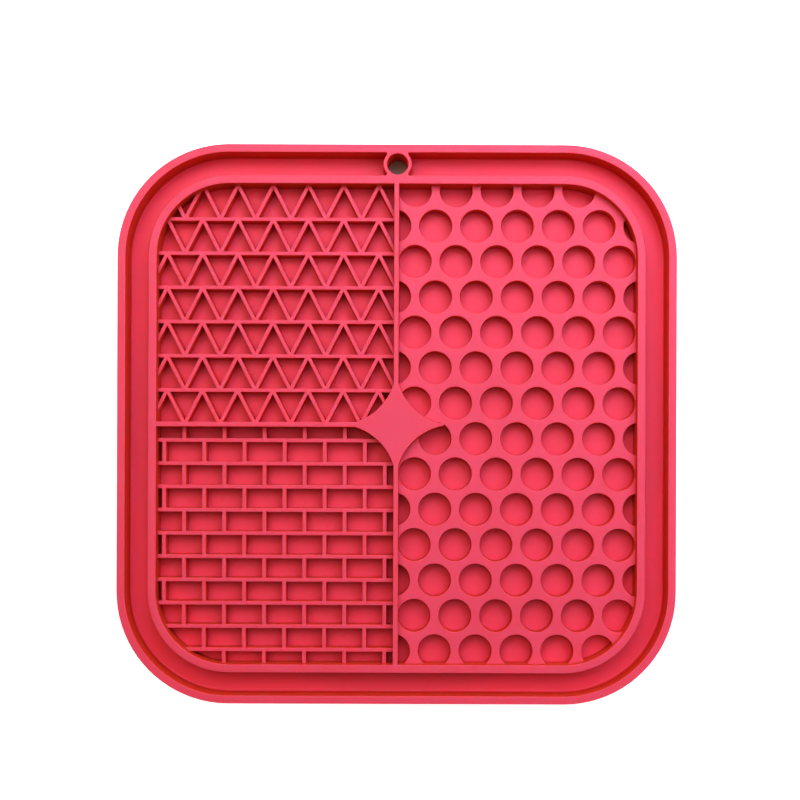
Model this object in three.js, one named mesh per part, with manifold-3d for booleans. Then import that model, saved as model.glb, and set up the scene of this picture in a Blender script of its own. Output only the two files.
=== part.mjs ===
// A square lick mat of soft silicone, moulded in one piece. Millimetres, +Z up.
// The origin is the middle of the flat underside, and +Y is the side with the hanging hole.
// Every upright wall leans a little, as it must to leave its mould: walls are wider at the foot
// and pockets are wider at the mouth. Outlines are given where they show, at the top.

import * as THREE from "three";
import { mergeVertices } from "three/addons/utils/BufferGeometryUtils.js";
import Module from "manifold-3d";

const wasm = await Module();
wasm.setup();

// Outline of the mat
const matSize = 200;
const matCorner = 40;

// Levels, measured up from the surface that the mat lies on
const level = { floor: 2, field: 6.8, rim: 10 };
const draft = THREE.MathUtils.degToRad(2);
const rooted = 0.5; // how far an added wall reaches into what carries it

// Two rims with a channel between them
const outerRimWidth = 2.9;
const channelWidth = 8.15;
const innerRimWidth = 3;

// Hanging hole, in a round boss that bridges the channel at the middle of the far side and
// flares where it meets the rims
const hole = { x: 0, y: 93, diameter: 7.5, foot: 6.6, boss: 10.2, flare: 0.5 };

// Walls as high as the rims that part the field, and the four-pointed star where they cross
const cross = new THREE.Vector2(-0.27, -0.17);
const dividerWidth = 1.75;
const star = { away: 20.78, scoop: 20.82, tip: 0.6 };

// Three patterns of pockets. The triangles of the far row that point down run on under the rim,
// by a share of a row. A pit that would be narrower than a sliver inside the rim is left out.
const triangles = { pitch: 12.67, row: 12.3, rib: 1.35, firstX: -0.35, firstY: -0.1 };
const underRim = 0.15;
const bricks = { pitch: 14.43, row: 8.36, rib: 1.45, firstX: -4.27, firstY: -5.8 };
const pits = { diameter: 11.8, pitch: 14.7, firstX: 6.36, firstY: 33.25, sliver: 1 };

// Flat steps that stand in for the round shapes
const cornerSteps = 8;
const starSteps = 8;
const roundSides = 16;
const flareSteps = 3;
const bossSteps = 4;

// Half sizes of the rims' outlines at the top
const outerHalf = matSize / 2;
const channelOutside = outerHalf - outerRimWidth;
const channelInside = channelOutside - channelWidth;
const fieldHalf = channelInside - innerRimWidth;
const innerRimMiddle = fieldHalf + innerRimWidth / 2;

// A closed geometry as a solid.
function solidOf(geometry) {
  const bare = geometry.clone();
  bare.deleteAttribute("normal");
  bare.deleteAttribute("uv");
  const merged = mergeVertices(bare, 1e-4);
  return new wasm.Manifold(
    new wasm.Mesh({
      numProp: 3,
      vertProperties: merged.getAttribute("position").array,
      triVerts: new Uint32Array(merged.getIndex().array),
    }),
  );
}

// A solid back as a geometry with flat faces.
function geometryOf(solid) {
  const mesh = solid.getMesh();
  const geometry = new THREE.BufferGeometry();
  geometry.setAttribute("position", new THREE.BufferAttribute(mesh.vertProperties, 3));
  geometry.setIndex(new THREE.BufferAttribute(mesh.triVerts, 1));
  const flat = geometry.toNonIndexed();
  flat.computeVertexNormals();
  return flat;
}

function joined(solids) {
  return solids.reduce((all, next) => all.add(next));
}

// An outline moved inwards by a distance, or outwards where it is negative, with its corners kept.
function inset(outline, distance) {
  const count = outline.length;
  return outline.map((point, i) => {
    const before = outline[(i + count - 1) % count];
    const after = outline[(i + 1) % count];
    const into = point.clone().sub(before).normalize();
    const out = after.clone().sub(point).normalize();
    const lean = into.clone().add(out).normalize();
    const stretch = distance / (into.x * lean.x + into.y * lean.y);
    return new THREE.Vector2(point.x - lean.y * stretch, point.y + lean.x * stretch);
  });
}

// A solid between two levels whose top has the outline given. Its foot is wider by the draft
// where spread is 1, as a wall's is, and narrower where it is -1, as a pocket's is.
function drafted(outline, from, to, spread) {
  const height = to - from;
  const foot = inset(outline, -spread * height * Math.tan(draft));
  const geometry = new THREE.ExtrudeGeometry(new THREE.Shape(foot), {
    depth: height,
    bevelEnabled: false,
  });
  const position = geometry.getAttribute("position");
  for (let i = 0; i < position.count; i += 1) {
    if (position.getZ(i) < height / 2) continue;
    const here = new THREE.Vector2(position.getX(i), position.getY(i));
    const corner = foot.findIndex((point) => point.distanceTo(here) < 1e-3);
    position.setXY(i, outline[corner].x, outline[corner].y);
  }
  geometry.translate(0, 0, from);
  return solidOf(geometry);
}

const wall = (outline, from, to) => drafted(outline, from, to, 1);
const pocket = (outline, from, to) => drafted(outline, from, to, -1);

// A straight-sided solid between two levels.
function block(outline, from, to) {
  const geometry = new THREE.ExtrudeGeometry(new THREE.Shape(outline), {
    depth: to - from,
    bevelEnabled: false,
  });
  return solidOf(geometry.translate(0, 0, from));
}

function rectangle(left, right, low, high) {
  return [
    new THREE.Vector2(left, low),
    new THREE.Vector2(right, low),
    new THREE.Vector2(right, high),
    new THREE.Vector2(left, high),
  ];
}

function circle(x, y, radius, sides) {
  return Array.from({ length: sides }, (_, i) => {
    const angle = (2 * Math.PI * (i + 0.5)) / sides;
    return new THREE.Vector2(x + radius * Math.cos(angle), y + radius * Math.sin(angle));
  });
}

// Points along an arc, with both of its ends.
function arc(x, y, radius, from, to, steps) {
  return Array.from({ length: steps + 1 }, (_, i) => {
    const angle = from + ((to - from) * i) / steps;
    return new THREE.Vector2(x + radius * Math.cos(angle), y + radius * Math.sin(angle));
  });
}

// The mat's outline, or one that runs inside it at an even distance.
function roundedSquare(half) {
  const radius = matCorner - (outerHalf - half);
  const side = half - radius;
  const path = new THREE.Path();
  path.absarc(side, side, radius, 0, Math.PI / 2);
  path.absarc(-side, side, radius, Math.PI / 2, Math.PI);
  path.absarc(-side, -side, radius, Math.PI, 1.5 * Math.PI);
  path.absarc(side, -side, radius, 1.5 * Math.PI, 2 * Math.PI);
  return path.getPoints(cornerSteps);
}

// How far a point lies inside the field's outline, or outside it where it is negative.
function insideField(x, y) {
  const radius = matCorner - (outerHalf - fieldHalf);
  const side = fieldHalf - radius;
  const acrossCorner = Math.max(Math.abs(x) - side, 0);
  const alongCorner = Math.max(Math.abs(y) - side, 0);
  return radius - Math.hypot(acrossCorner, alongCorner);
}

// The boss's outline: two arcs about the hole, with a hollow flare at each of their ends that
// leads into the outer rim on the far side and into the inner rim on the near side.
function bossOutline() {
  const { x, y, boss, flare } = hole;
  const quarter = Math.PI / 2;
  const reach = boss / 2 + flare;
  const farRise = channelOutside - flare - y;
  const nearRise = y - channelInside - flare;
  const farX = Math.sqrt(reach ** 2 - farRise ** 2);
  const nearX = Math.sqrt(reach ** 2 - nearRise ** 2);
  const farTurn = Math.atan2(farRise, farX);
  const nearTurn = Math.atan2(nearRise, nearX);
  const near = arc(nearX, y - nearRise, flare, -quarter, -2 * quarter - nearTurn, flareSteps);
  const side = arc(0, y, boss / 2, -nearTurn, farTurn, bossSteps);
  const far = arc(farX, y + farRise, flare, 2 * quarter + farTurn, quarter, flareSteps);
  const right = [
    new THREE.Vector2(nearX, channelInside - rooted),
    ...near,
    ...side.slice(1, -1),
    ...far,
    new THREE.Vector2(farX, channelOutside + rooted),
  ];
  const left = right.map((point) => new THREE.Vector2(-point.x, point.y)).reverse();
  return [...right, ...left].map((point) => point.setX(point.x + x));
}

// Four narrow tips joined by four hollow curves, each an arc about a point out on a diagonal.
function starOutline() {
  const { away, scoop, tip } = star;
  const quarter = Math.PI / 2;
  const lean = Math.acos((away - tip / 2) / scoop);
  const path = new THREE.Path();
  path.absarc(away, away, scoop, -quarter - lean, lean - 2 * quarter, true);
  path.absarc(-away, away, scoop, -lean, lean - quarter, true);
  path.absarc(-away, -away, scoop, quarter - lean, lean, true);
  path.absarc(away, -away, scoop, 2 * quarter - lean, quarter + lean, true);
  return path.getPoints(starSteps).map((point) => point.add(cross));
}

// Rows of triangles that point up and down by turns, all in step.
function trianglePockets() {
  const { pitch, row, rib, firstX, firstY } = triangles;
  const found = [];
  const rows = Math.round((fieldHalf - firstY) / row);
  for (let r = 0; r < rows; r += 1) {
    const high = r === rows - 1 ? 1 + underRim : 1;
    for (let left = firstX - pitch; left > -fieldHalf - pitch; left -= pitch) {
      const corner = (x, y) => new THREE.Vector2(left + x * pitch, firstY + (r + y) * row);
      const pointsUp = [corner(0, 0), corner(1, 0), corner(0.5, 1)];
      const pointsDown = [corner(1 - high / 2, high), corner(1, 0), corner(1 + high / 2, high)];
      for (const outline of [pointsUp, pointsDown]) {
        found.push(inset(outline, rib / 2));
      }
    }
  }
  return found;
}

// Rows of bricks, each row half a brick along from the one before.
function brickPockets() {
  const { pitch, row, rib, firstX, firstY } = bricks;
  const found = [];
  const rows = Math.ceil((fieldHalf + firstY) / row);
  for (let r = 0; r <= rows; r += 1) {
    const high = firstY - (r - 1) * row;
    const first = firstX + pitch - (r % 2 ? pitch / 2 : 0);
    for (let right = first; right > -fieldHalf; right -= pitch) {
      found.push(inset(rectangle(right - pitch, right, high - row, high), rib / 2));
    }
  }
  return found;
}

// Round pits in rows, each row half a pit along from the one before.
function roundPits() {
  const { diameter, pitch, firstX, firstY, sliver } = pits;
  const row = pitch * Math.sin(Math.PI / 3);
  const found = [];
  const rowsUp = Math.ceil((fieldHalf - firstY) / row);
  const rowsDown = Math.ceil((fieldHalf + firstY) / row);
  for (let r = -rowsUp; r <= rowsDown; r += 1) {
    const shift = r % 2 ? -pitch / 2 : 0;
    const y = firstY - r * row;
    for (let x = firstX + shift; x < fieldHalf + diameter / 2; x += pitch) {
      if (insideField(x, y) + diameter / 2 < sliver) continue;
      found.push(circle(x, y, diameter / 2, roundSides));
    }
  }
  return found;
}

// Pockets of one pattern, kept to its own part of the field.
function patternCut(outlines, left, right, low, high) {
  const cuts = joined(outlines.map((outline) => pocket(outline, level.floor, level.field)));
  return cuts.intersect(block(rectangle(left, right, low, high), 0, level.rim));
}

// The ribs, as one slab with every pocket cut out of it down to the plate.
function makeField() {
  const edge = innerRimMiddle;
  return block(roundedSquare(edge), level.floor - rooted, level.field)
    .subtract(patternCut(trianglePockets(), -edge, 0, 0, edge))
    .subtract(patternCut(brickPockets(), -edge, 0, -edge, 0))
    .subtract(patternCut(roundPits(), 0, edge, -edge, edge));
}

function makeDividers() {
  const edge = innerRimMiddle;
  const half = dividerWidth / 2;
  const foot = level.floor - rooted;
  return joined([
    wall(rectangle(cross.x - half, cross.x + half, -edge, edge), foot, level.rim),
    wall(rectangle(-edge, cross.x, cross.y - half, cross.y + half), foot, level.rim),
    wall(starOutline(), foot, level.rim),
  ]);
}

// The plate with the outer rim round it, and the inner rim standing on it.
function makeRims() {
  const foot = level.floor - rooted;
  const tray = block(roundedSquare(outerHalf), 0, level.rim).subtract(
    pocket(roundedSquare(channelOutside), level.floor, level.rim),
  );
  const innerRim = wall(roundedSquare(channelInside), foot, level.rim).subtract(
    pocket(roundedSquare(fieldHalf), foot, level.rim),
  );
  return tray.add(innerRim);
}

function makeMat() {
  const bore = new THREE.CylinderGeometry(
    hole.diameter / 2,
    hole.foot / 2,
    level.rim,
    roundSides,
  );
  bore.rotateX(Math.PI / 2);
  bore.translate(hole.x, hole.y, level.rim / 2);
  const mat = makeRims()
    .add(makeField())
    .add(makeDividers())
    .add(wall(bossOutline(), level.floor - rooted, level.rim))
    .subtract(solidOf(bore));
  const silicone = new THREE.MeshStandardMaterial({
    color: 0xf0506c,
    roughness: 0.55,
    metalness: 0,
  });
  const mesh = new THREE.Mesh(geometryOf(mat), silicone);
  mesh.name = "mat";
  return mesh;
}

const lickMat = new THREE.Group();
lickMat.add(makeMat());

export default lickMat;
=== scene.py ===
from math import asin, cos, pi, radians, sin, sqrt, tan

import bmesh
import bpy
from mathutils import Matrix, Vector


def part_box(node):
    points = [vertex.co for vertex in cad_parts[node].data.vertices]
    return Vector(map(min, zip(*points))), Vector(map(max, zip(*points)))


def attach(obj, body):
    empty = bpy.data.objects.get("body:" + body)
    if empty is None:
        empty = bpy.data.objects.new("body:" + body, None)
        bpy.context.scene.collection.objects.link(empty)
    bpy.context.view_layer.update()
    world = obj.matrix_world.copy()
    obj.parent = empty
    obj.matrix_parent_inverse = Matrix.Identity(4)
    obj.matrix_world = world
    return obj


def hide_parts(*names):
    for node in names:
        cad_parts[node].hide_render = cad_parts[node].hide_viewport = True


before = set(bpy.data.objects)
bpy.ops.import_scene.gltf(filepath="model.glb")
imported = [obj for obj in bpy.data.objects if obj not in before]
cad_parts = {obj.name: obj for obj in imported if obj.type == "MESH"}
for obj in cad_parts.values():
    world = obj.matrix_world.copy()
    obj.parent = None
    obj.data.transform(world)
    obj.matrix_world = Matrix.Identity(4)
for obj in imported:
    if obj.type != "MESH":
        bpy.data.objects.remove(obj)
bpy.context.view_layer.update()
lowCorner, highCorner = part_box("mat")
millimetre = 0.001
print("frame loaded, the mat is", round((highCorner.x - lowCorner.x) / millimetre), "mm wide")

# The mat is modelled in millimetres on its flat underside, and brought to metres at the end.
# A cross-section is a row of points (inwards from an outline, level above the underside).
mat = {
    "half": highCorner.x / millimetre,
    "top": highCorner.z / millimetre,  # both rims and the boss end level
    "corner": 40,                      # radius of the four corners
    "cornerSteps": 20,
    "plate": 2,                        # what is left under the channel and the pockets
    "lean": tan(radians(2)),           # how far walls lean, to leave their mould
    "rooted": 0.5,                     # how far added walls reach into what carries them
    "clear": 1.0,                      # how far cutters stand out of what they cut
    "merge": 0.002,                    # points nearer than this become one
    "sharp": 40,                       # degrees between faces, over which an edge stays sharp
    "faceWeight": 60,                  # how far large faces rule the shading near them
}


def section(corners, steps):
    # a cross-section from its corners, each (inwards, level, rounding)
    found = []
    for i, (inwards, level, rounding) in enumerate(corners):
        here = Vector((inwards, level))
        if not rounding:
            found.append(here)
            continue
        back = (Vector(corners[i - 1][:2]) - here).normalized()
        on = (Vector(corners[i + 1][:2]) - here).normalized()
        halfAngle = back.angle(on) / 2
        middle = here + (back + on).normalized() * rounding / sin(halfAngle)
        first = here + back * rounding / tan(halfAngle) - middle
        last = here + on * rounding / tan(halfAngle) - middle
        found += [middle + first.slerp(last, k / steps) * rounding for k in range(steps + 1)]
    return found


def inset(bm, face, inwards, rise):
    ring = bmesh.ops.inset_region(bm, faces=[face], thickness=inwards, depth=rise,
                                  use_even_offset=True, use_boundary=True)
    return ring["faces"]


def sweep(bm, face, points):
    # carries a face along a cross-section, and leaves a ring behind at each step
    for before, here in zip(points, points[1:]):
        inset(bm, face, here.x - before.x, here.y - before.y)


def trim(bm, face, inwards, rise=0):
    # moves an outline inwards, and up, with nothing left where it was
    bmesh.ops.delete(bm, geom=inset(bm, face, inwards, rise), context="FACES")


def close(bm):
    openEdges = [edge for edge in bm.edges if edge.is_boundary]
    bmesh.ops.holes_fill(bm, edges=openEdges, sides=0)
    bmesh.ops.recalc_face_normals(bm, faces=bm.faces[:])


def finishSolid(name, bm):
    close(bm)
    mesh = bpy.data.meshes.new(name)
    bm.to_mesh(mesh)
    bm.free()
    made = bpy.data.objects.new(name, mesh)
    bpy.context.scene.collection.objects.link(made)
    return made


def combine(base, tool, operation):
    # joins a tool to the base, or cuts the base with it, and puts the tool away
    change = base.modifiers.new(operation, "BOOLEAN")
    change.object = tool
    change.operation = operation
    change.solver = "MANIFOLD"
    graph = bpy.context.evaluated_depsgraph_get()
    base.data = bpy.data.meshes.new_from_object(base.evaluated_get(graph))
    base.modifiers.clear()
    bpy.data.objects.remove(tool)


def roundedSquare(bm, inwards, level):
    bmesh.ops.create_grid(bm, x_segments=1, y_segments=1, size=mat["half"] - inwards)
    bmesh.ops.bevel(bm, geom=bm.verts[:], offset=mat["corner"] - inwards, offset_type="OFFSET",
                    segments=mat["cornerSteps"], profile=0.5, affect="VERTICES", material=-1)
    bmesh.ops.translate(bm, verts=bm.verts[:], vec=(0, 0, level))
    return bm.faces[:][0]


tray = {
    "outerRim": 2.9,   # widths at the top
    "channel": 8.15,
    "innerRim": 3,
    "edge": 0.3,       # rounding of the rims' edges
    "foot": 1.0,       # hollow rounding where a rim meets the plate
    "underEdge": 0.3,
    "steps": 4,
}
channelEdge = tray["outerRim"] + tray["channel"]
fieldEdge = channelEdge + tray["innerRim"]
fieldHalf = mat["half"] - fieldEdge
fieldReach = fieldHalf + tray["innerRim"] / 2  # ribs and dividers end inside the inner rim


def makeTray():
    # plate, outer rim, channel and inner rim, in one sweep inwards from the underside
    top, plate, edge = mat["top"], mat["plate"], tray["edge"]
    lean = (top - plate) * mat["lean"]
    points = section([
        (tray["underEdge"], 0, 0),
        (0, tray["underEdge"], 0),
        (0, top, edge),
        (tray["outerRim"], top, edge),
        (tray["outerRim"] + lean, plate, tray["foot"]),
        (channelEdge - lean, plate, tray["foot"]),
        (channelEdge, top, edge),
        (fieldEdge, top, edge),
        (fieldEdge + lean, plate, 0),
    ], tray["steps"])
    bm = bmesh.new()
    sweep(bm, roundedSquare(bm, tray["underEdge"], 0), points)
    return finishSolid("tray", bm)


ribs = {
    "top": 6.8,
    "edge": 0.22,      # rounding of the ribs' edges
    "steps": 3,
}


def makeSlab(keep):
    # the slab that one pattern is cut from, on the side of the middle lines that keep points to
    bm = bmesh.new()
    face = roundedSquare(bm, mat["half"] - fieldReach, mat["plate"] - mat["rooted"])
    sweep(bm, face, [Vector((0, mat["plate"] - mat["rooted"])), Vector((0, ribs["top"]))])
    close(bm)
    for direction in keep:
        bmesh.ops.bisect_plane(bm, geom=bm.verts[:] + bm.edges[:] + bm.faces[:], plane_co=(0, 0, 0),
                               plane_no=-Vector(direction), clear_outer=True)
        close(bm)
    return finishSolid("slab", bm)


def sinkPocket(bm, face):
    # a pocket's cutter, from the outline of its mouth: sunk to the plate, and swept up again
    top, plate, edge = ribs["top"], mat["plate"], ribs["edge"]
    lean = (top - plate) * mat["lean"]
    trim(bm, face, lean, plate - top)
    sweep(bm, face, section([
        (lean, plate, 0),
        (0, top, edge),
        (-2 * edge, top, 0),
    ], ribs["steps"])[:-1])
    inset(bm, face, 0, mat["clear"])
    close(bm)


def follow(bm, vert, centre, angle, steps):
    # carries an outline on from its last point, round a centre
    path = bmesh.ops.spin(bm, geom=[vert], cent=(*centre, 0), axis=(0, 0, 1), dvec=(0, 0, 0),
                          angle=angle, steps=steps)
    return path["geom_last"][0]


def fill(bm, gaps):
    # closes an outline across its gaps, and fills it with a face that looks up
    for ends in gaps:
        bm.edges.new(ends)
    face = bmesh.ops.contextual_create(bm, geom=bm.edges[:])["faces"][0]
    bm.normal_update()
    if face.normal.z < 0:
        face.normal_flip()
    return face


def repeat(bm, places):
    # copies of the one shape in bm, at each place
    first = bm.verts[:] + bm.edges[:] + bm.faces[:]
    for x, y in places:
        copy = bmesh.ops.duplicate(bm, geom=first)["geom"]
        verts = [part for part in copy if isinstance(part, bmesh.types.BMVert)]
        bmesh.ops.translate(bm, verts=verts, vec=(x, y, 0))
    bmesh.ops.delete(bm, geom=first, context="VERTS")


def cutPattern(name, keep, pockets):
    slab = makeSlab(keep)
    for outline, places in pockets:
        bm = bmesh.new()
        sinkPocket(bm, outline(bm))
        repeat(bm, places)
        combine(slab, finishSolid(name, bm), "DIFFERENCE")
    print(name, "cut,", sum(len(places) for outline, places in pockets), "pockets")
    return slab


triangles = {
    "pitch": 12.67,
    "row": 12.3,
    "rib": 1.35,
    "firstRight": -0.35,  # right end of the first triangle
    "firstFoot": -0.1,    # foot of the first row
    "underRim": 0.15,     # how far the last row runs on, as a share of a row
}


def triangleOutline(corners):
    pitch, row = triangles["pitch"], triangles["row"]

    def outline(bm):
        verts = [bm.verts.new((x * pitch, y * row, ribs["top"])) for x, y in corners]
        face = bm.faces.new(verts)
        bm.normal_update()
        trim(bm, face, triangles["rib"] / 2)
        return face
    return outline


def makeTriangles():
    # rows of triangles that point up and down by turns, all rows in step
    pitch, row = triangles["pitch"], triangles["row"]
    firstRight, firstFoot = triangles["firstRight"], triangles["firstFoot"]
    rows = round((fieldHalf - firstFoot) / row)
    columns = range(1, int(fieldReach / pitch) + 3)
    up = [(firstRight - column * pitch, firstFoot + r * row)
          for r in range(rows) for column in columns]
    down = [(x + pitch / 2, y) for x, y in up]
    last = len(columns)
    low, high = -triangles["underRim"] / 2, 1 + triangles["underRim"]
    return cutPattern("triangles", [(-1, 0, 0), (0, 1, 0)], [
        (triangleOutline([(0, 0), (1, 0), (0.5, 1)]), up),
        (triangleOutline([(0, 1), (0.5, 0), (1, 1)]), down[:-last]),
        (triangleOutline([(low, high), (0.5, 0), (1 - low, high)]), down[-last:]),
    ])


bricks = {
    "pitch": 14.43,
    "row": 8.36,
    "rib": 1.45,
    "firstRight": 10.16,  # right end of the first brick in the even rows
    "firstTop": 2.56,     # top of the first row
}


def brickOutline(bm):
    bmesh.ops.create_grid(bm, x_segments=1, y_segments=1, size=0.5)
    bmesh.ops.scale(bm, verts=bm.verts[:], vec=(bricks["pitch"], bricks["row"], 1))
    bmesh.ops.translate(bm, verts=bm.verts[:], vec=(0, 0, ribs["top"]))
    face = bm.faces[:][0]
    trim(bm, face, bricks["rib"] / 2)
    return face


def makeBricks():
    # rows of bricks, each row half a brick along from the one before
    pitch, row = bricks["pitch"], bricks["row"]
    places = []
    for r in range(int((fieldReach + bricks["firstTop"]) / row) + 1):
        right = bricks["firstRight"] - (r % 2) * pitch / 2
        while right > -fieldReach:
            places.append((right - pitch / 2, bricks["firstTop"] - (r + 0.5) * row))
            right -= pitch
    return cutPattern("bricks", [(-1, 0, 0), (0, -1, 0)], [(brickOutline, places)])


pits = {
    "diameter": 11.8,
    "pitch": 14.7,
    "firstX": 6.36,
    "firstY": 33.25,
    "sides": 28,
    "sliver": 1,       # a pit that would be narrower than this inside the rim is left out
}


def pitOutline(bm):
    bmesh.ops.create_circle(bm, cap_ends=True, segments=pits["sides"], radius=pits["diameter"] / 2)
    bmesh.ops.translate(bm, verts=bm.verts[:], vec=(0, 0, ribs["top"]))
    return bm.faces[:][0]


def insideField(x, y):
    # how far a point lies inside the field's outline, or outside it where it is negative
    radius = mat["corner"] - fieldEdge
    side = fieldHalf - radius
    return radius - Vector((max(abs(x) - side, 0), max(abs(y) - side, 0))).length


def makePits():
    # rows of round pits, each row half a pit along from the one before
    pitch, radius = pits["pitch"], pits["diameter"] / 2
    row = pitch * sin(radians(60))
    places = []
    for r in range(-int((fieldReach - pits["firstY"] + radius) / row),
                   int((fieldReach + pits["firstY"] + radius) / row) + 1):
        x, y = pits["firstX"] - (r % 2) * pitch / 2, pits["firstY"] - r * row
        while x < fieldReach + radius:
            if insideField(x, y) + radius > pits["sliver"]:
                places.append((x, y))
            x += pitch
    return cutPattern("pits", [(1, 0, 0)], [(pitOutline, places)])


dividers = {
    "crossX": -0.27,   # where they cross, at the middle of the star
    "crossY": -0.17,
    "width": 1.75,     # at the top, which is level with the rims
    "edge": 0.2,
    "steps": 3,
}


def raiseWall(bm, face, top, edge, steps):
    # a wall under its outline at the top: dropped into the plate, wider by the lean, and swept up
    foot = mat["plate"] - mat["rooted"]
    lean = (top - foot) * mat["lean"]
    trim(bm, face, -lean, foot - top)
    sweep(bm, face, section([(-lean, foot, 0), (0, top, edge), (2 * edge, top, 0)], steps)[:-1])


def makeDivider(name, left, right, low, high):
    bm = bmesh.new()
    bmesh.ops.create_grid(bm, x_segments=1, y_segments=1, size=0.5)
    bmesh.ops.scale(bm, verts=bm.verts[:], vec=(right - left, high - low, 1))
    bmesh.ops.translate(bm, verts=bm.verts[:],
                        vec=((left + right) / 2, (low + high) / 2, mat["top"]))
    raiseWall(bm, bm.faces[:][0], mat["top"], dividers["edge"], dividers["steps"])
    return finishSolid(name, bm)


star = {
    "away": 20.78,     # how far out, both ways, the middles of its four hollow sides lie
    "scoop": 20.82,    # radius of those sides
    "tip": 0.6,        # width of its points' ends
    "sideSteps": 16,
    "edge": 0.2,
}


def makeStar():
    away, scoop, halfTip = star["away"], star["scoop"], star["tip"] / 2
    short = sqrt(scoop ** 2 - (away - halfTip) ** 2)
    bm = bmesh.new()
    ends = []
    for turn in range(4):
        quarter = Matrix.Rotation(turn * pi / 2, 3, "Z")
        start = bm.verts.new(quarter @ Vector((away - short, halfTip, mat["top"])))
        middle = quarter @ Vector((away, away, 0))
        end = follow(bm, start, middle.xy, 2 * asin(short / scoop) - pi / 2, star["sideSteps"])
        ends += [start, end]
    face = fill(bm, zip(ends[1::2], ends[2::2] + ends[:1]))
    raiseWall(bm, face, mat["top"], star["edge"], dividers["steps"])
    bmesh.ops.translate(bm, verts=bm.verts[:], vec=(dividers["crossX"], dividers["crossY"], 0))
    return finishSolid("star", bm)


eyelet = {
    "y": 93,           # middle of the hanging hole
    "mouth": 7.5,      # its diameters at the top and at the underside
    "throat": 6.6,
    "boss": 10.2,
    "flare": 0.5,      # hollow rounding where the boss runs into a rim
    "edge": 0.3,
    "sides": 48,
    "steps": 4,
}


def bossOutline(bm):
    # two arcs about the hole, each with a flare at both ends that leads into a rim
    top, flare, steps, rooted = mat["top"], eyelet["flare"], eyelet["steps"], 2 * mat["rooted"]
    nearRim, farRim = mat["half"] - channelEdge, mat["half"] - tray["outerRim"]
    reach = eyelet["boss"] / 2 + flare
    nearTurn = asin((eyelet["y"] - nearRim - flare) / reach)
    farTurn = asin((farRim - flare - eyelet["y"]) / reach)
    ends = []
    for side in [1, -1]:
        nearX, farX = side * reach * cos(nearTurn), side * reach * cos(farTurn)
        foot = bm.verts.new((nearX, nearRim - rooted, top))
        vert = bm.verts.new((nearX, nearRim, top))
        bm.edges.new((foot, vert))
        vert = follow(bm, vert, (nearX, nearRim + flare), -side * (pi / 2 + nearTurn), steps)
        vert = follow(bm, vert, (0, eyelet["y"]), side * (nearTurn + farTurn), 2 * steps)
        vert = follow(bm, vert, (farX, farRim - flare), -side * (pi / 2 + farTurn), steps)
        head = bm.verts.new((farX, farRim + rooted, top))
        bm.edges.new((vert, head))
        ends.append((foot, head))
    return fill(bm, zip(*ends))


def makeBoss():
    bm = bmesh.new()
    raiseWall(bm, bossOutline(bm), mat["top"], eyelet["edge"], eyelet["steps"])
    return finishSolid("boss", bm)


def makeBore():
    top, clear = mat["top"], mat["clear"]
    widen = (eyelet["mouth"] - eyelet["throat"]) / 2
    bm = bmesh.new()
    bmesh.ops.create_circle(bm, cap_ends=True, segments=eyelet["sides"],
                            radius=eyelet["throat"] / 2)
    bmesh.ops.translate(bm, verts=bm.verts[:], vec=(0, eyelet["y"], -clear))
    face = bm.faces[:][0]
    sweep(bm, face, section([
        (0, -clear, 0),
        (-widen, top, eyelet["edge"]),
        (-widen - 2 * eyelet["edge"], top, 0),
    ], eyelet["steps"])[:-1])
    inset(bm, face, 0, clear)
    return finishSolid("bore", bm)


lickMat = makeTray()
lickMat.name = "lickMat"
print("tray made")
crossX, crossY, half = dividers["crossX"], dividers["crossY"], dividers["width"] / 2
for added in [
    makeTriangles(), makeBricks(), makePits(),
    makeDivider("upright", crossX - half, crossX + half, -fieldReach, fieldReach),
    makeDivider("level", -fieldReach, crossX, crossY - half, crossY + half),
    makeStar(), makeBoss(),
]:
    combine(lickMat, added, "UNION")
combine(lickMat, makeBore(), "DIFFERENCE")

bm = bmesh.new()
bm.from_mesh(lickMat.data)
bmesh.ops.remove_doubles(bm, verts=bm.verts[:], dist=mat["merge"])
bmesh.ops.scale(bm, verts=bm.verts[:], vec=(millimetre, millimetre, millimetre))
for face in bm.faces:
    face.smooth = True
bm.to_mesh(lickMat.data)
print("open edges:", sum(not edge.is_manifold for edge in bm.edges),
      "volume:", round(bm.calc_volume() / (10 * millimetre) ** 3, 1), "cm3",
      "triangles:", len(bm.calc_loop_triangles()))
bm.free()
lickMat.data.set_sharp_from_angle(angle=radians(mat["sharp"]))
normals = lickMat.modifiers.new("even normals", "WEIGHTED_NORMAL")
normals.keep_sharp = True
normals.weight = mat["faceWeight"]

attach(lickMat, "root")
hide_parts("mat")
print("mat moulded")


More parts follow.
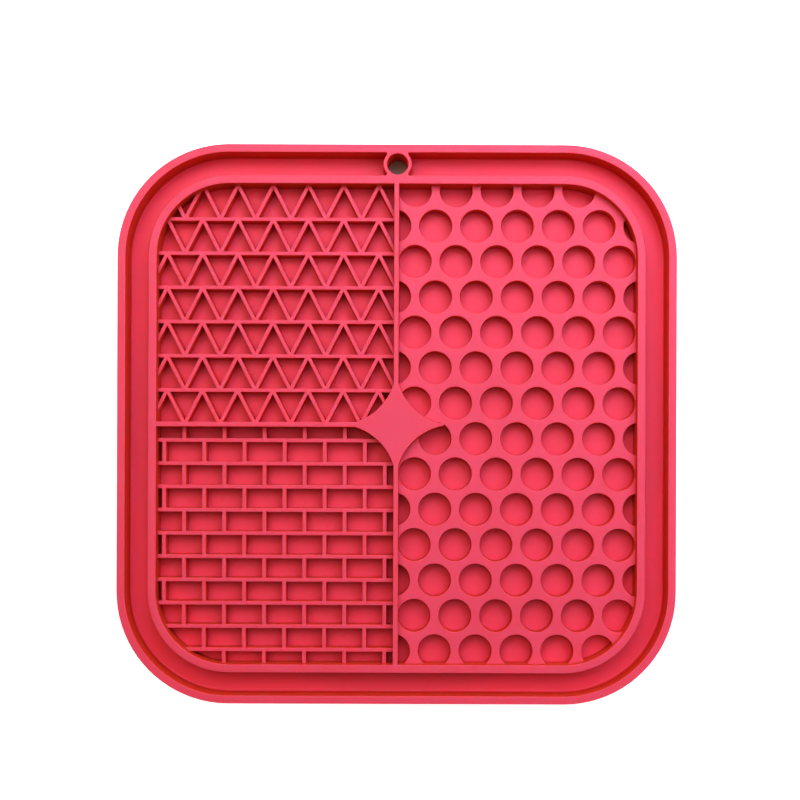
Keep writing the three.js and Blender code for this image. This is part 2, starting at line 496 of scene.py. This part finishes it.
silicone = {
    "topSheenColour": (0.73, 0.092, 0.152, 1),    # tops: painted sheen, paler and pinker than the floors
    "paleSheenColour": (0.76, 0.103, 0.172, 1),   # where the painted sheen is thickest, in random patches
    "floorShadeColour": (0.75, 0.076, 0.136, 1),  # channel and pockets: painted shade, darker and redder than the tops
    "wallShadeColour": (0.70, 0.080, 0.030, 1),   # inner walls: painted shade, dark and orange
    "footShadeColour": (0.55, 0.050, 0.020, 1),   # their feet: deeper painted shade where walls meet the floors
    "sideColour": (0.73, 0.084, 0.128, 1),   # the outer side, open to the room, without the inner walls' painted shade
    "level": 0.95,                  # upward part of the normal, above which it counts as level
    "upright": 0.45,                # and below which it counts as a wall
    "sheenPatchSize": (40, 40, 40),      # sizes of what varies, in millimetres, first the random patches of the painted sheen
    "sheenPatchRange": (0.35, 0.65),     # the part of the patches that shows
    "sheenStrength": 0.6,
    "sheenDetail": 3,
    "flowSize": (2.5, 60, 2.5),     # long ripples where the rubber flowed
    "flowHeight": 0.012,
    "grainSize": (0.35, 0.35, 0.35),
    "grainRange": (0.3, 0.7),
    "grainHeight": 0.004,
    "fineDetail": 2,                # of the ripples and the grain
    "roughness": (0.46, 0.56),
    "gloss": 0.4,
    "glow": 0.6,                    # share of the light that wanders on inside the rubber
    "glowReach": (2.5, 0.4, 0.3),   # how far its red, green and blue wander, in millimetres
}


def addRange(nodes, low, high, toLow, toHigh):
    made = nodes.new("ShaderNodeMapRange")
    for name, value in [("From Min", low), ("From Max", high),
                        ("To Min", toLow), ("To Max", toHigh)]:
        made.inputs[name].default_value = value
    return made


def addGroup(nodes, tree, **values):
    made = nodes.new("ShaderNodeGroup")
    made.node_tree = tree
    for name, value in values.items():
        made.inputs[name].default_value = value
    return made


def addBlend(nodes, links, factor, first, second):
    made = nodes.new("ShaderNodeMix")
    made.data_type = "RGBA"  # its colour sockets have numbers only: 6 and 7 go in, 2 comes out
    links.new(factor, made.inputs["Factor"])
    for socket, value in [(made.inputs[6], first), (made.inputs[7], second)]:
        if isinstance(value, bpy.types.NodeSocket):
            links.new(value, socket)
        else:
            socket.default_value = value
    return made.outputs[2]


def makeSteepGroup():
    # how steep the surface is: 0 on tops and floors, 1 on walls
    group = bpy.data.node_groups.new("steep", "ShaderNodeTree")
    group.interface.new_socket("Steep", in_out="OUTPUT", socket_type="NodeSocketFloat")
    nodes, links = group.nodes, group.links
    place = nodes.new("ShaderNodeTexCoord")
    split = nodes.new("ShaderNodeSeparateXYZ")
    steep = addRange(nodes, silicone["level"], silicone["upright"], 0, 1)
    steep.interpolation_type = "SMOOTHSTEP"
    out = nodes.new("NodeGroupOutput")
    links.new(place.outputs["Normal"], split.inputs["Vector"])
    links.new(split.outputs["Z"], steep.inputs["Value"])
    links.new(steep.outputs["Result"], out.inputs["Steep"])
    return group


def makeHeightGroup():
    # how high the surface is: 0 at the plate, 1 at the rims' top
    group = bpy.data.node_groups.new("height", "ShaderNodeTree")
    group.interface.new_socket("Height", in_out="OUTPUT", socket_type="NodeSocketFloat")
    nodes, links = group.nodes, group.links
    place = nodes.new("ShaderNodeTexCoord")
    split = nodes.new("ShaderNodeSeparateXYZ")
    height = addRange(nodes, mat["plate"] * millimetre, mat["top"] * millimetre, 0, 1)
    out = nodes.new("NodeGroupOutput")
    links.new(place.outputs["Object"], split.inputs["Vector"])
    links.new(split.outputs["Z"], height.inputs["Value"])
    links.new(height.outputs["Result"], out.inputs["Height"])
    return group


def makeOutsideGroup():
    # 1 on the mat's outer side, 0 from a little way inside its outline
    group = bpy.data.node_groups.new("outside", "ShaderNodeTree")
    group.interface.new_socket("Outside", in_out="OUTPUT", socket_type="NodeSocketFloat")
    nodes, links = group.nodes, group.links
    value = nodes.new("ShaderNodeTexCoord").outputs["Object"]
    straight = (mat["half"] - mat["corner"]) * millimetre
    for operation, given in [("ABSOLUTE", None), ("SUBTRACT", (straight, straight, 1)),
                             ("MAXIMUM", (0, 0, 0)), ("LENGTH", None)]:
        step = nodes.new("ShaderNodeVectorMath")
        step.operation = operation
        links.new(value, step.inputs[0])
        if given:
            step.inputs[1].default_value = given
        value = step.outputs["Value" if operation == "LENGTH" else "Vector"]
    outside = addRange(nodes, (mat["corner"] - tray["edge"]) * millimetre,
                       mat["corner"] * millimetre, 0, 1)
    out = nodes.new("NodeGroupOutput")
    links.new(value, outside.inputs["Value"])
    links.new(outside.outputs["Result"], out.inputs["Outside"])
    return group


def makePatchyGroup():
    # soft patches of a size in millimetres, about the middle of the mat
    group = bpy.data.node_groups.new("patchy", "ShaderNodeTree")
    size = group.interface.new_socket("Size", in_out="INPUT", socket_type="NodeSocketVector")
    size.default_value = (10, 10, 10)
    detail = group.interface.new_socket("Detail", in_out="INPUT", socket_type="NodeSocketFloat")
    detail.default_value = 2
    group.interface.new_socket("Patches", in_out="OUTPUT", socket_type="NodeSocketFloat")
    nodes, links = group.nodes, group.links
    given = nodes.new("NodeGroupInput")
    place = nodes.new("ShaderNodeTexCoord")
    centre = nodes.new("ShaderNodeMapping")
    centre.inputs["Location"].default_value = (0, 0, -mat["top"] / 2)
    centre.inputs["Scale"].default_value = (1 / millimetre, 1 / millimetre, 1 / millimetre)
    fit = nodes.new("ShaderNodeVectorMath")
    fit.operation = "DIVIDE"
    noise = nodes.new("ShaderNodeTexNoise")
    noise.inputs["Scale"].default_value = 1
    out = nodes.new("NodeGroupOutput")
    links.new(place.outputs["Object"], centre.inputs["Vector"])
    links.new(centre.outputs["Vector"], fit.inputs[0])
    links.new(given.outputs["Size"], fit.inputs[1])
    links.new(fit.outputs["Vector"], noise.inputs["Vector"])
    links.new(given.outputs["Detail"], noise.inputs["Detail"])
    links.new(noise.outputs["Fac"], out.inputs["Patches"])
    return group


def makeSilicone(steepGroup, heightGroup, outsideGroup, patchyGroup):
    material = bpy.data.materials.new("silicone")
    material.use_nodes = True
    nodes, links = material.node_tree.nodes, material.node_tree.links
    shader = nodes["Principled BSDF"]
    shader.inputs["Specular IOR Level"].default_value = silicone["gloss"]
    shader.inputs["Subsurface Weight"].default_value = silicone["glow"]
    shader.inputs["Subsurface Radius"].default_value = silicone["glowReach"]
    shader.inputs["Subsurface Scale"].default_value = millimetre

    sheenPatches = addGroup(nodes, patchyGroup, Size=silicone["sheenPatchSize"],
                     Detail=silicone["sheenDetail"])
    flow = addGroup(nodes, patchyGroup, Size=silicone["flowSize"],
                    Detail=silicone["fineDetail"])
    grain = addGroup(nodes, patchyGroup, Size=silicone["grainSize"],
                     Detail=silicone["fineDetail"])
    steep = addGroup(nodes, steepGroup)
    height = addGroup(nodes, heightGroup)
    outside = addGroup(nodes, outsideGroup)

    # painted sheen on the tops, thicker in random patches
    sheenAmount = addRange(nodes, *silicone["sheenPatchRange"], 0, silicone["sheenStrength"])
    links.new(sheenPatches.outputs["Patches"], sheenAmount.inputs["Value"])
    top = addBlend(nodes, links, sheenAmount.outputs["Result"],
                   silicone["topSheenColour"], silicone["paleSheenColour"])
    # floors painted darker and redder than the tops as painted shade, up to the ribs' height
    ribHeight = (ribs["top"] - mat["plate"]) / (mat["top"] - mat["plate"])
    raised = addRange(nodes, 0, ribHeight, 0, 1)
    links.new(height.outputs["Height"], raised.inputs["Value"])
    level = addBlend(nodes, links, raised.outputs["Result"], silicone["floorShadeColour"], top)
    # inner walls painted as in shade, dark and orange, deepest at their feet
    inner = addBlend(nodes, links, raised.outputs["Result"],
                     silicone["footShadeColour"], silicone["wallShadeColour"])
    # the outer side keeps a plain colour without that painted shade
    wall = addBlend(nodes, links, outside.outputs["Outside"], inner, silicone["sideColour"])
    colour = addBlend(nodes, links, steep.outputs["Steep"], level, wall)
    links.new(colour, shader.inputs["Base Color"])

    rough = addRange(nodes, *silicone["grainRange"], *silicone["roughness"])
    links.new(grain.outputs["Patches"], rough.inputs["Value"])
    links.new(rough.outputs["Result"], shader.inputs["Roughness"])

    under = None
    for patches, deep in [(flow, silicone["flowHeight"]), (grain, silicone["grainHeight"])]:
        bump = nodes.new("ShaderNodeBump")
        bump.inputs["Distance"].default_value = deep * millimetre
        links.new(patches.outputs["Patches"], bump.inputs["Height"])
        if under:
            links.new(under.outputs["Normal"], bump.inputs["Normal"])
        under = bump
    links.new(under.outputs["Normal"], shader.inputs["Normal"])
    return material


lickMat.data.materials.clear()
lickMat.data.materials.append(makeSilicone(
    makeSteepGroup(), makeHeightGroup(), makeOutsideGroup(), makePatchyGroup()))
print("silicone coloured")


floor = {
    "size": 20,                             # metres
    "colour": (0.9, 0.9, 0.9, 1),
    "glow": 0.5,                            # lifts it to the photo's plain white
    "shadedColour": (0.34, 0.30, 0.26, 1),  # under the mat, where it shows through the hole
    "shadedRadius": 98,                     # millimetres, just inside the mat's outline
}


def makeUnderMatGroup():
    # 1 on the part of the floor that the mat covers, 0 outside it
    group = bpy.data.node_groups.new("underMat", "ShaderNodeTree")
    group.interface.new_socket("Covered", in_out="OUTPUT", socket_type="NodeSocketFloat")
    nodes, links = group.nodes, group.links
    place = nodes.new("ShaderNodeTexCoord")
    away = nodes.new("ShaderNodeVectorMath")
    away.operation = "LENGTH"
    covered = nodes.new("ShaderNodeMath")
    covered.operation = "LESS_THAN"
    covered.inputs[1].default_value = floor["shadedRadius"] * millimetre
    out = nodes.new("NodeGroupOutput")
    links.new(place.outputs["Object"], away.inputs[0])
    links.new(away.outputs["Value"], covered.inputs[0])
    links.new(covered.outputs["Value"], out.inputs["Covered"])
    return group


def makeFloor():
    bm = bmesh.new()
    bmesh.ops.create_grid(bm, x_segments=1, y_segments=1, size=floor["size"] / 2)
    mesh = bpy.data.meshes.new("floor")
    bm.to_mesh(mesh)
    bm.free()
    made = bpy.data.objects.new("floor", mesh)
    bpy.context.scene.collection.objects.link(made)
    material = bpy.data.materials.new("paleFloor")
    material.use_nodes = True
    nodes, links = material.node_tree.nodes, material.node_tree.links
    shader = nodes["Principled BSDF"]
    covered = addGroup(nodes, makeUnderMatGroup()).outputs["Covered"]
    links.new(addBlend(nodes, links, covered, floor["colour"], floor["shadedColour"]),
              shader.inputs["Base Color"])
    glow = floor["glow"]
    links.new(addBlend(nodes, links, covered, (glow, glow, glow, 1), (0, 0, 0, 1)),
              shader.inputs["Emission Color"])
    shader.inputs["Emission Strength"].default_value = 1
    mesh.materials.append(material)
    return made


makeFloor()

camera = {
    "imageSide": 800,             # pixels each way
    "sensor": 36,                 # millimetres
    "distance": 500,              # millimetres over the mat's top
    "nearest": 10,                # millimetres, where its view begins
    "pixelsPerMm": 2.799,         # at the mat's top
    "matMiddle": (396.7, 424.2),  # pixels from the picture's left and top
    "under": (417.0, 484.0),      # where the camera looks straight down
    "roll": 0.2,                  # degrees
}


def makeCamera():
    scale, side = camera["pixelsPerMm"], camera["imageSide"]
    roll = radians(camera["roll"])
    under, middle = Vector(camera["under"]), Vector(camera["matMiddle"])
    away = Vector(((under.x - middle.x) / scale, (middle.y - under.y) / scale))
    away.rotate(Matrix.Rotation(roll, 2))
    lens = bpy.data.cameras.new("camera")
    lens.sensor_width = camera["sensor"]
    lens.lens = scale * camera["distance"] / side * camera["sensor"]
    lens.shift_x = (side / 2 - under.x) / side
    lens.shift_y = (under.y - side / 2) / side
    lens.clip_start = camera["nearest"] * millimetre
    made = bpy.data.objects.new("camera", lens)
    made.location = (away.x * millimetre, away.y * millimetre,
                     (mat["top"] + camera["distance"]) * millimetre)
    made.rotation_euler = (0, 0, roll)
    bpy.context.scene.collection.objects.link(made)
    bpy.context.scene.camera = made


makeCamera()

lights = {
    "room": {"strength": 0.187, "colour": (1, 0.93, 0.80, 1)},
    # softboxes, away and size in metres; each box is (degrees down from overhead, degrees round
    # from the mat's right, watts)
    "key": {"away": 1.2, "size": 0.6, "colour": (1, 0.83, 0.66),
            "boxes": [(0, 0, 0.98), (30, 135, 2.8), (30, 180, 0.49)]},
    "fill": {"away": 1.2, "size": 0.6, "colour": (0.85, 0.82, 1),
             "boxes": [(30, 0, 0.465), (30, 45, 1.32), (30, 90, 0.866)]},
    "near": {"away": 0.45, "size": 0.3, "colour": (0.64, 0.77, 1),
             "boxes": [(45, 0, 0.206), (45, 45, 0.532), (45, 90, 0.636)]},
}


def makeSoftbox(name, group, down, turn, watts):
    lamp = bpy.data.lights.new(name, "AREA")
    lamp.shape = "DISK"
    lamp.size = group["size"]
    lamp.color = group["colour"]
    lamp.energy = watts
    made = bpy.data.objects.new(name, lamp)
    aim = Matrix.Rotation(radians(turn), 4, "Z") @ Matrix.Rotation(radians(down), 4, "Y")
    made.matrix_world = aim @ Matrix.Translation((0, 0, group["away"]))
    made.visible_camera = False
    bpy.context.scene.collection.objects.link(made)


for name in ["key", "fill", "near"]:
    for box in lights[name]["boxes"]:
        makeSoftbox(name, lights[name], *box)
world = bpy.data.worlds.new("studio")
bpy.context.scene.world = world
world.use_nodes = True
world.node_tree.nodes["Background"].inputs["Color"].default_value = lights["room"]["colour"]
world.node_tree.nodes["Background"].inputs["Strength"].default_value = lights["room"]["strength"]
bpy.context.scene.view_settings.view_transform = "Standard"
bpy.context.scene.view_settings.look = "High Contrast"
print("camera and lights set")
